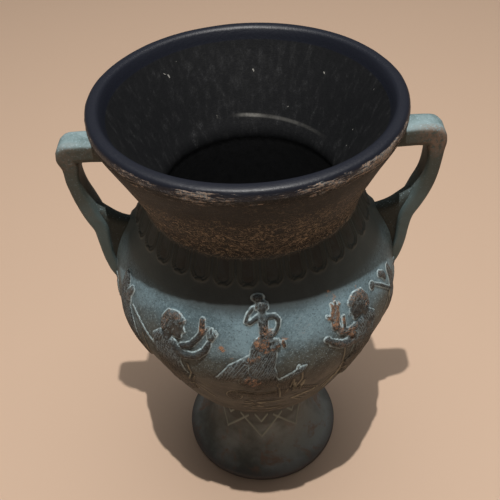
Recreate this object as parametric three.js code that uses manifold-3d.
// A small footed krater in fired clay: a wide funnel mouth, a sloping shoulder with a
// collar of tongues, a full belly with a moulded frieze of figures, a trumpet foot and
// two strap handles. The vase stands on +Z with its front at -Y and its handles on X.
// Lengths are in millimetres, angles in degrees.
import * as THREE from 'three';
import { mergeVertices } from 'three/addons/utils/BufferGeometryUtils.js';
import Module from 'manifold-3d';

const wasm = await Module();
wasm.setup();
const { Manifold, Mesh: SolidMesh } = wasm;

// Driving dimensions
const HEIGHT = 180;
const RIM_RADIUS = 52;
const LIP_TOP_OUTER = 50.2;
const LIP_TOP_INNER = 48.4;
const THROAT_RADIUS = 31;
const THROAT_Z = 142.5;
const NECK_RADIUS = 38.2;
const NECK_Z = 142;
const BELLY_RADIUS = 53.4;
const BELLY_Z = 101.5;
const STEM_RADIUS = 19;
const STEM_Z = 32;
const FOOT_RADIUS = 34.8;
const TOE_HEIGHT = 3;
const RECESS_RADIUS = 27;
const RECESS_DEPTH = 2.5;
const WALL = 5;
const FLOOR_Z = 42;
const ROUND_STEPS = 40;

const TONGUES = 32;
const TONGUE_LENGTH = 8.2;
const TONGUE_SCALLOP = 3.2;
const TONGUE_FLANK = 3.2; // degrees from the middle of a groove to the flank
const TONGUE_RISE = 1;
const GROOVE_RISE = 0.3;

const FOOT_POINTS = 8;
const FOOT_POINT_TIP_Z = 16;
const FOOT_POINT_TOP_Z = 27.5;
const FOOT_LINE_HALF_WIDTH = 0.9;
const FOOT_LINE_RISE = 0.6;

const HANDLE_ARM_Z = 161.6;
const HANDLE_REACH = 63.1;
const HANDLE_HALF_WIDTH = 5;

const SINK = 0.9; // how far a raised form is rooted in the wall behind it
const SHORTEST_EDGE = 0.06;
const DEG = Math.PI / 180;

// Outline of the vase, as radius and height

function smooth(points, steps) {
  const curve = new THREE.SplineCurve(points.map(([r, z]) => new THREE.Vector2(r, z)));
  return curve.getSpacedPoints(steps);
}

function footCurve() {
  return new THREE.CubicBezierCurve(
    new THREE.Vector2(FOOT_RADIUS - 0.6, TOE_HEIGHT),
    new THREE.Vector2(FOOT_RADIUS - 9, TOE_HEIGHT + 3.5),
    new THREE.Vector2(STEM_RADIUS, STEM_Z - 15),
    new THREE.Vector2(STEM_RADIUS, STEM_Z),
  ).getPoints(5);
}

const bellyOutline = smooth(
  [
    [STEM_RADIUS, STEM_Z],
    [27.5, 45],
    [37, 57.5],
    [45.3, 76.5],
    [51.2, 92],
    [BELLY_RADIUS, BELLY_Z],
    [52.2, 111],
    [48.6, 121.5],
    [42.3, 133.4],
    [NECK_RADIUS, NECK_Z],
  ],
  11,
);

const flareOutline = smooth(
  [
    [NECK_RADIUS, NECK_Z],
    [38.8, 146],
    [42.2, 154.5],
    [47.3, 165.5],
    [RIM_RADIUS - 0.7, 173.8],
    [RIM_RADIUS, HEIGHT - 3.6],
  ],
  5,
);

function lipOutline() {
  const side = new THREE.Vector2(RIM_RADIUS, HEIGHT - 3.6);
  const corner = new THREE.Vector2(RIM_RADIUS - 0.2, HEIGHT - 0.5);
  const top = new THREE.Vector2(LIP_TOP_OUTER, HEIGHT);
  const outer = new THREE.QuadraticBezierCurve(side, corner, top).getPoints(2).slice(1);
  return [...outer, new THREE.Vector2(LIP_TOP_INNER, HEIGHT), new THREE.Vector2(47.3, HEIGHT - 0.8)];
}

const funnelInside = smooth(
  [
    [47.3, HEIGHT - 0.8],
    [45.4, 175],
    [39.6, 163],
    [33.8, 150.5],
    [THROAT_RADIUS + 0.6, 146],
    [THROAT_RADIUS, THROAT_Z],
  ],
  5,
);

const bellyInside = smooth(
  [
    [THROAT_RADIUS, THROAT_Z],
    [34, 136.5],
    [43.6, 119],
    [BELLY_RADIUS - WALL, BELLY_Z + 1],
    [40.3, 77.5],
    [31.5, 59],
    [16, 44.5],
    [0, FLOOR_Z],
  ],
  7,
);

function vaseProfile() {
  const start = [
    new THREE.Vector2(0, RECESS_DEPTH),
    new THREE.Vector2(RECESS_RADIUS - 1.5, RECESS_DEPTH),
    new THREE.Vector2(RECESS_RADIUS, 0),
    new THREE.Vector2(FOOT_RADIUS - 0.8, 0),
    new THREE.Vector2(FOOT_RADIUS, 0.9),
    new THREE.Vector2(FOOT_RADIUS, TOE_HEIGHT - 0.9),
  ];
  return [
    ...start,
    ...footCurve(),
    ...bellyOutline.slice(1),
    ...flareOutline.slice(1),
    ...lipOutline(),
    ...funnelInside.slice(1),
    ...bellyInside.slice(1),
  ];
}

// Solids and meshes

function solidFrom(geometry) {
  const bare = geometry.clone();
  bare.deleteAttribute('normal');
  bare.deleteAttribute('uv');
  const merged = mergeVertices(bare, 1e-4);
  const index = merged.index.array;
  const kept = [];
  for (let i = 0; i < index.length; i += 3) {
    const [a, b, c] = [index[i], index[i + 1], index[i + 2]];
    if (a !== b && b !== c && c !== a) kept.push(a, b, c);
  }
  return new Manifold(new SolidMesh({
    numProp: 3,
    vertProperties: new Float32Array(merged.attributes.position.array),
    triVerts: new Uint32Array(kept),
  }));
}

// Joined forms meet in very short edges. Each is closed up to a point where that keeps
// the skin whole, which it does when its ends share two neighbours and no more.
function closeShortEdges(points, faces) {
  const around = points.map(() => new Set());
  faces.forEach((face, k) => face.forEach((v) => around[v].add(k)));
  const neighbours = (v) => new Set([...around[v]].flatMap((k) => faces[k]).filter((n) => n !== v));
  const close = (keep, drop) => {
    const beside = neighbours(keep);
    if ([...neighbours(drop)].filter((n) => beside.has(n)).length !== 2) return;
    for (const k of [...around[drop]]) {
      const face = faces[k];
      if (face.includes(keep)) {
        face.forEach((v) => around[v].delete(k));
        faces[k] = null;
      } else {
        faces[k] = face.map((v) => (v === drop ? keep : v));
        around[keep].add(k);
      }
    }
  };
  for (let k = 0; k < faces.length; k += 1) {
    for (let n = 0; n < 3 && faces[k]; n += 1) {
      const from = faces[k][n];
      const to = faces[k][(n + 1) % 3];
      if (points[from].distanceTo(points[to]) < SHORTEST_EDGE) close(from, to);
    }
  }
  return faces.filter((face) => face);
}

function geometryFrom(solid) {
  const mesh = solid.getMesh();
  const count = mesh.vertProperties.length / 3;
  const points = Array.from({ length: count }, (_, k) => (
    new THREE.Vector3().fromArray(mesh.vertProperties, k * 3)
  ));
  const faces = Array.from({ length: mesh.triVerts.length / 3 }, (_, k) => (
    [...mesh.triVerts.subarray(k * 3, k * 3 + 3)]
  ));
  const geometry = new THREE.BufferGeometry();
  geometry.setFromPoints(points);
  geometry.setIndex(closeShortEdges(points, faces).flat());
  geometry.computeVertexNormals();
  return geometry;
}

// A closed skin over rings of equal length, with a fan at each end.
function loft(rings, firstCentre, lastCentre) {
  const count = rings[0].length;
  const points = [...rings.flat(), firstCentre, lastCentre];
  const first = points.length - 2;
  const last = points.length - 1;
  const faces = [];
  for (let k = 0; k < count; k += 1) {
    const n = (k + 1) % count;
    for (let row = 0; row + 1 < rings.length; row += 1) {
      const low = row * count;
      const high = low + count;
      faces.push(low + k, low + n, high + n, low + k, high + n, high + k);
    }
    const top = (rings.length - 1) * count;
    faces.push(first, n, k, last, top + k, top + n);
  }
  const geometry = new THREE.BufferGeometry();
  geometry.setFromPoints(points);
  geometry.setIndex(faces);
  return geometry;
}

// The outer surface as a chart: x runs round the vase to the right, y up along the
// outline from a starting height, and rise stands out from the wall.

const outlinePoints = [...footCurve(), ...bellyOutline.slice(1)];
const outlineLengths = outlinePoints.reduce((sums, point, k) => {
  const step = k ? point.distanceTo(outlinePoints[k - 1]) : 0;
  return [...sums, (sums[k - 1] ?? 0) + step];
}, []);

function outlineAt(length) {
  const last = outlinePoints.length - 2;
  const found = outlineLengths.findIndex((total) => total > length) - 1;
  const k = found < 0 ? (length <= 0 ? 0 : last) : Math.min(found, last);
  const span = outlineLengths[k + 1] - outlineLengths[k];
  const point = outlinePoints[k].clone().lerp(outlinePoints[k + 1], (length - outlineLengths[k]) / span);
  const along = outlinePoints[k + 1].clone().sub(outlinePoints[k]).normalize();
  return { point, normal: new THREE.Vector2(along.y, -along.x) };
}

function lengthAtHeight(z) {
  const k = outlinePoints.findIndex((point) => point.y > z) - 1;
  const share = (z - outlinePoints[k].y) / (outlinePoints[k + 1].y - outlinePoints[k].y);
  return outlineLengths[k] + share * (outlineLengths[k + 1] - outlineLengths[k]);
}

function chartAt(azimuth, z, side = 1) {
  const start = lengthAtHeight(z);
  return (x, y, rise) => {
    const { point, normal } = outlineAt(start + y);
    const turn = azimuth * DEG + (side * x) / point.x;
    const radius = point.x + normal.x * rise;
    return new THREE.Vector3(
      radius * Math.sin(turn),
      -radius * Math.cos(turn),
      point.y + normal.y * rise,
    );
  };
}

// A raised form on the chart: a tapered limb with blunt ends and a crowned back.
const LIMB_CORNERS = 6;
const LIMB_SHOULDER = 0.62;

function limb(chart, side, [ax, ay, ar], [bx, by, br], rise) {
  const heading = Math.atan2(by - ay, bx - ax);
  const ring = (shrink, height) => Array.from({ length: LIMB_CORNERS }, (_, k) => {
    const half = LIMB_CORNERS / 2;
    const step = (k % half) / (half - 1);
    const turn = heading + (k < half ? -90 : 90) * DEG + Math.PI * step;
    const [cx, cy, r] = k < half ? [bx, by, br] : [ax, ay, ar];
    return chart(cx + r * shrink * Math.cos(turn), cy + r * shrink * Math.sin(turn), height);
  });
  const rings = [ring(1, -SINK), ring(LIMB_SHOULDER, rise * 0.85)];
  const mid = (height) => chart((ax + bx) / 2, (ay + by) / 2, height);
  if (side < 0) rings.forEach((points) => points.reverse());
  return solidFrom(loft(rings, mid(-SINK), mid(rise)));
}

// A raised band that follows stations round the vase and ends where it began. Each
// station gives its azimuth, its height and a closed section of [y, rise] corners.
function closedBand(stations) {
  const rings = stations.map(({ azimuth, z, section }) => {
    const chart = chartAt(azimuth, z);
    return section.map(([y, rise]) => chart(0, y, rise));
  });
  const count = rings.length;
  const corners = rings[0].length;
  const faces = [];
  for (let k = 0; k < count; k += 1) {
    const here = k * corners;
    const next = ((k + 1) % count) * corners;
    for (let n = 0; n < corners; n += 1) {
      const turn = (n + 1) % corners;
      faces.push(here + n, next + n, next + turn, here + n, next + turn, here + turn);
    }
  }
  const geometry = new THREE.BufferGeometry();
  geometry.setFromPoints(rings.flat());
  geometry.setIndex(faces);
  return solidFrom(geometry);
}

// A figure is a chain of bones. Each bone starts at a named joint, and runs at an angle
// (0 is to the right, 90 is up) for a length, from one half-width to another.
function figure({ azimuth, z, side = 1, joints, bones }) {
  const chart = chartAt(azimuth, z, side);
  const places = { ...joints };
  return bones.map(([name, from, angle, length, startRadius, endRadius, rise]) => {
    const [x, y] = places[from];
    const end = [x + length * Math.cos(angle * DEG), y + length * Math.sin(angle * DEG)];
    places[name] = end;
    return limb(chart, side, [x, y, startRadius], [...end, endRadius], rise);
  });
}

// The seated figure with arms raised to the head, on a resting beast.
function riderFigure(azimuth, side) {
  return figure({
    azimuth,
    z: 112,
    side,
    joints: { neck: [-0.9, 15], haunch: [-12.5, -20] },
    bones: [
      ['crown', 'neck', 90, 3.6, 1.9, 2.8, 1.9],
      ['waist', 'neck', -74, 8.2, 3.2, 2.4, 1.9],
      ['elbowNear', 'neck', -156, 5.4, 1.5, 1.4, 1.5],
      ['handNear', 'elbowNear', 68, 3.8, 1.4, 1.2, 1.4],
      ['elbowFar', 'neck', -14, 6.4, 1.5, 1.4, 1.5],
      ['handFar', 'elbowFar', -98, 6.2, 1.4, 1.2, 1.4],
      ['knee', 'waist', -128, 16, 4.2, 5, 2.2],
      ['lap', 'waist', -98, 21, 4.2, 7, 2.5],
      ['hem', 'knee', -136, 8, 4.4, 1.4, 1.7],
      ['back', 'haunch', 3, 22, 4.6, 4.2, 1.8],
      ['mane', 'back', 52, 11, 3.6, 2.4, 1.7],
      ['foreleg', 'back', -42, 16, 2.8, 1.7, 1.4],
      ['hindleg', 'haunch', -70, 11, 3.6, 2, 1.4],
    ],
  });
}

// The big-headed seated figure that turns to the rider with both hands up.
function attendantFigure(azimuth, side) {
  return figure({
    azimuth,
    z: 110,
    side,
    joints: { nape: [-3.4, 3.5], seat: [-3.4, -15] },
    bones: [
      ['skull', 'nape', 66, 6.8, 3.8, 5.4, 2.2],
      ['chin', 'nape', 22, 5.8, 3, 1.9, 1.8],
      ['hip', 'nape', -88, 17, 5, 6.2, 2.3],
      ['elbow', 'nape', -18, 9.6, 2.8, 2.2, 2],
      ['wrist', 'elbow', 46, 7.2, 2, 1.8, 1.8],
      ['fingers', 'wrist', 100, 7.4, 1.8, 1.3, 1.6],
      ['otherHand', 'elbow', 46, 13, 1.6, 1.4, 1.3],
      ['kneeNear', 'seat', -12, 12.4, 5.4, 4, 2.1],
      ['ankle', 'kneeNear', -106, 14.5, 3.6, 2.4, 1.7],
      ['robe', 'seat', -94, 20, 5.6, 5.2, 1.8],
    ],
  });
}

// A fan of leaves that hangs under each handle.
const LEAVES = 3;
const LEAF_LENGTH = 15;

function handleLeaves(azimuth) {
  const bones = Array.from({ length: LEAVES }, (_, k) => {
    const spread = k - (LEAVES - 1) / 2;
    const reach = LEAF_LENGTH * (1 - 0.03 * spread * spread);
    return [`leaf${k}`, 'root', -90 + 52 * spread, reach, 1.6, 3.6, 1.4];
  });
  return figure({ azimuth, z: 106, joints: { root: [0, 0] }, bones });
}

// A collar of tongues under the neck: three stations each, one in the groove between
// two tongues and two on the tongue's flanks.
function tongueCollar() {
  const stations = Array.from({ length: TONGUES * 3 }, (_, k) => {
    const inGroove = k % 3 === 0;
    const flank = [0, -TONGUE_FLANK, TONGUE_FLANK][k % 3];
    const azimuth = (Math.ceil(k / 3) * 360) / TONGUES + flank;
    const length = inGroove ? TONGUE_LENGTH - TONGUE_SCALLOP : TONGUE_LENGTH;
    const rise = inGroove ? GROOVE_RISE : TONGUE_RISE;
    const section = [[1, -SINK], [-length, -SINK], [-length + 0.9, rise], [0, rise]];
    return { azimuth, z: NECK_Z - 0.2, section };
  });
  return closedBand(stations);
}

// A pointed line that runs up and down round the stem.
const LINE_PIECES = 2;

function footLine() {
  const section = [[FOOT_LINE_HALF_WIDTH, -SINK], [-FOOT_LINE_HALF_WIDTH, -SINK], [0, FOOT_LINE_RISE]];
  const stations = Array.from({ length: FOOT_POINTS * 2 * LINE_PIECES }, (_, k) => {
    const climb = 1 - Math.abs(((k / LINE_PIECES) % 2) - 1);
    const z = FOOT_POINT_TIP_Z + climb * (FOOT_POINT_TOP_Z - FOOT_POINT_TIP_Z);
    return { azimuth: (k * 180) / (FOOT_POINTS * LINE_PIECES), z, section };
  });
  return closedBand(stations);
}

// Handles: a flat-faced arm straight out from under the rim, a tight corner, and a thin
// strap that swings down and in, swells, and runs on as a rib down the shoulder. A thinner
// web fills the corner between the rib and the shoulder.

const HANDLE_STATIONS = 16;

// Corners of the strap's section, as shares of its half depth and half width.
const SECTION = [
  [1, -0.74],
  [0.66, -1],
  [-0.66, -1],
  [-1, -0.74],
  [-1, 0.74],
  [-0.66, 1],
  [0.66, 1],
  [1, 0.74],
];

// Each row: how far out, how high, half the depth in the handle's plane, half the width.
const handleRows = [
  [43.5, HANDLE_ARM_Z - 0.4, 3.6, HANDLE_HALF_WIDTH],
  [51, HANDLE_ARM_Z, 3.5, HANDLE_HALF_WIDTH],
  [58.6, HANDLE_ARM_Z, 3.6, HANDLE_HALF_WIDTH],
  [HANDLE_REACH - 0.3, HANDLE_ARM_Z - 1.8, 3.9, HANDLE_HALF_WIDTH],
  [HANDLE_REACH + 0.2, 154.8, 2.8, HANDLE_HALF_WIDTH],
  [62.4, 149.5, 2.4, HANDLE_HALF_WIDTH],
  [61, 144, 2.4, HANDLE_HALF_WIDTH - 0.1],
  [58.6, 138.6, 3.2, HANDLE_HALF_WIDTH - 0.2],
  [57, 133.6, 3, HANDLE_HALF_WIDTH - 0.5],
  [55.6, 128.6, 2.6, HANDLE_HALF_WIDTH - 1],
  [55.4, 122, 2.3, HANDLE_HALF_WIDTH - 1.6],
  [55.4, 115.5, 2.1, HANDLE_HALF_WIDTH - 2.2],
  [54.7, 109.5, 2, HANDLE_HALF_WIDTH - 2.8],
  [53.6, 104.4, 1.8, HANDLE_HALF_WIDTH - 3.4],
  [52.6, 101, 1.2, HANDLE_HALF_WIDTH - 4],
];

// Outline of the web in the handle's plane, as how far out and how high.
const webOutline = [
  [58.2, 139.8],
  [55.2, 137.6],
  [52.4, 135.2],
  [49.4, 133],
  [45.8, 131.4],
  [41.5, 130.6],
  [46.6, 115.7],
  [50.4, 103.3],
  [53.4, 104.2],
  [55.1, 112.3],
  [55.6, 122.3],
  [57.3, 133.2],
];
const WEB_HALF_TOP = 2.7;
const WEB_HALF_FOOT = 0.9;

function handle(side) {
  const route = new THREE.CatmullRomCurve3(
    handleRows.map(([out, z]) => new THREE.Vector3(side * out, 0, z)),
    false,
    'centripetal',
  );
  const sizes = new THREE.CatmullRomCurve3(
    handleRows.map(([, , depth, width]) => new THREE.Vector3(depth, width, 0)),
    false,
    'centripetal',
  );
  const rings = Array.from({ length: HANDLE_STATIONS }, (_, k) => {
    const t = k / (HANDLE_STATIONS - 1);
    const centre = route.getPoint(t);
    const along = route.getTangent(t);
    const across = new THREE.Vector3(-along.z, 0, along.x);
    const size = sizes.getPoint(t);
    return SECTION.map(([deep, wide]) => (
      centre.clone()
        .addScaledVector(across, size.x * deep)
        .add(new THREE.Vector3(0, size.y * wide, 0))
    ));
  });
  return solidFrom(loft(rings, route.getPoint(0), route.getPoint(1)));
}

function handleWeb(side) {
  const [, high] = webOutline[0];
  const low = Math.min(...webOutline.map(([, z]) => z));
  const half = (z) => WEB_HALF_FOOT + ((WEB_HALF_TOP - WEB_HALF_FOOT) * (z - low)) / (high - low);
  const face = (way) => webOutline.map(([out, z]) => new THREE.Vector3(side * out, way * half(z), z));
  const rings = side > 0 ? [face(1), face(-1)] : [face(-1), face(1)];
  const middle = (ring) => ring
    .reduce((sum, point) => sum.add(point), new THREE.Vector3())
    .divideScalar(ring.length);
  return solidFrom(loft(rings, middle(rings[0]), middle(rings[1])));
}

// The room inside the vase, taken a little into the wall: nothing raised on the outside
// may come through it.
function hollowSpace() {
  const wider = [...funnelInside, ...bellyInside.slice(1, -1)].map(
    ({ x, y }) => new THREE.Vector2(x + WALL * 0.3, y),
  );
  const above = [
    new THREE.Vector2(0, HEIGHT + 2),
    new THREE.Vector2(wider[0].x, HEIGHT + 2),
  ];
  const closed = [...above, ...wider, new THREE.Vector2(0, FLOOR_Z)];
  return turned(closed.reverse());
}

function turned(profile) {
  const geometry = new THREE.LatheGeometry(profile, ROUND_STEPS);
  geometry.rotateX(Math.PI / 2);
  return solidFrom(geometry);
}

function buildKrater() {
  const frieze = [
    ...riderFigure(2, 1),
    ...attendantFigure(-33, 1),
    ...attendantFigure(40.5, -1),
    ...riderFigure(178, -1),
    ...attendantFigure(147, 1),
    ...attendantFigure(-142, -1),
    ...handleLeaves(90),
    ...handleLeaves(-90),
  ];
  const handles = [handle(1), handle(-1), handleWeb(1), handleWeb(-1)];
  const raised = Manifold.union([...frieze, ...handles, tongueCollar(), footLine()]);
  return turned(vaseProfile()).add(raised.subtract(hollowSpace()));
}

const clay = new THREE.MeshStandardMaterial({
  color: new THREE.Color(0.16, 0.2, 0.2),
  roughness: 0.75,
  metalness: 0.1,
});

const krater = new THREE.Mesh(geometryFrom(buildKrater()), clay);
krater.name = 'krater';

const group = new THREE.Group();
group.add(krater);

export default group;
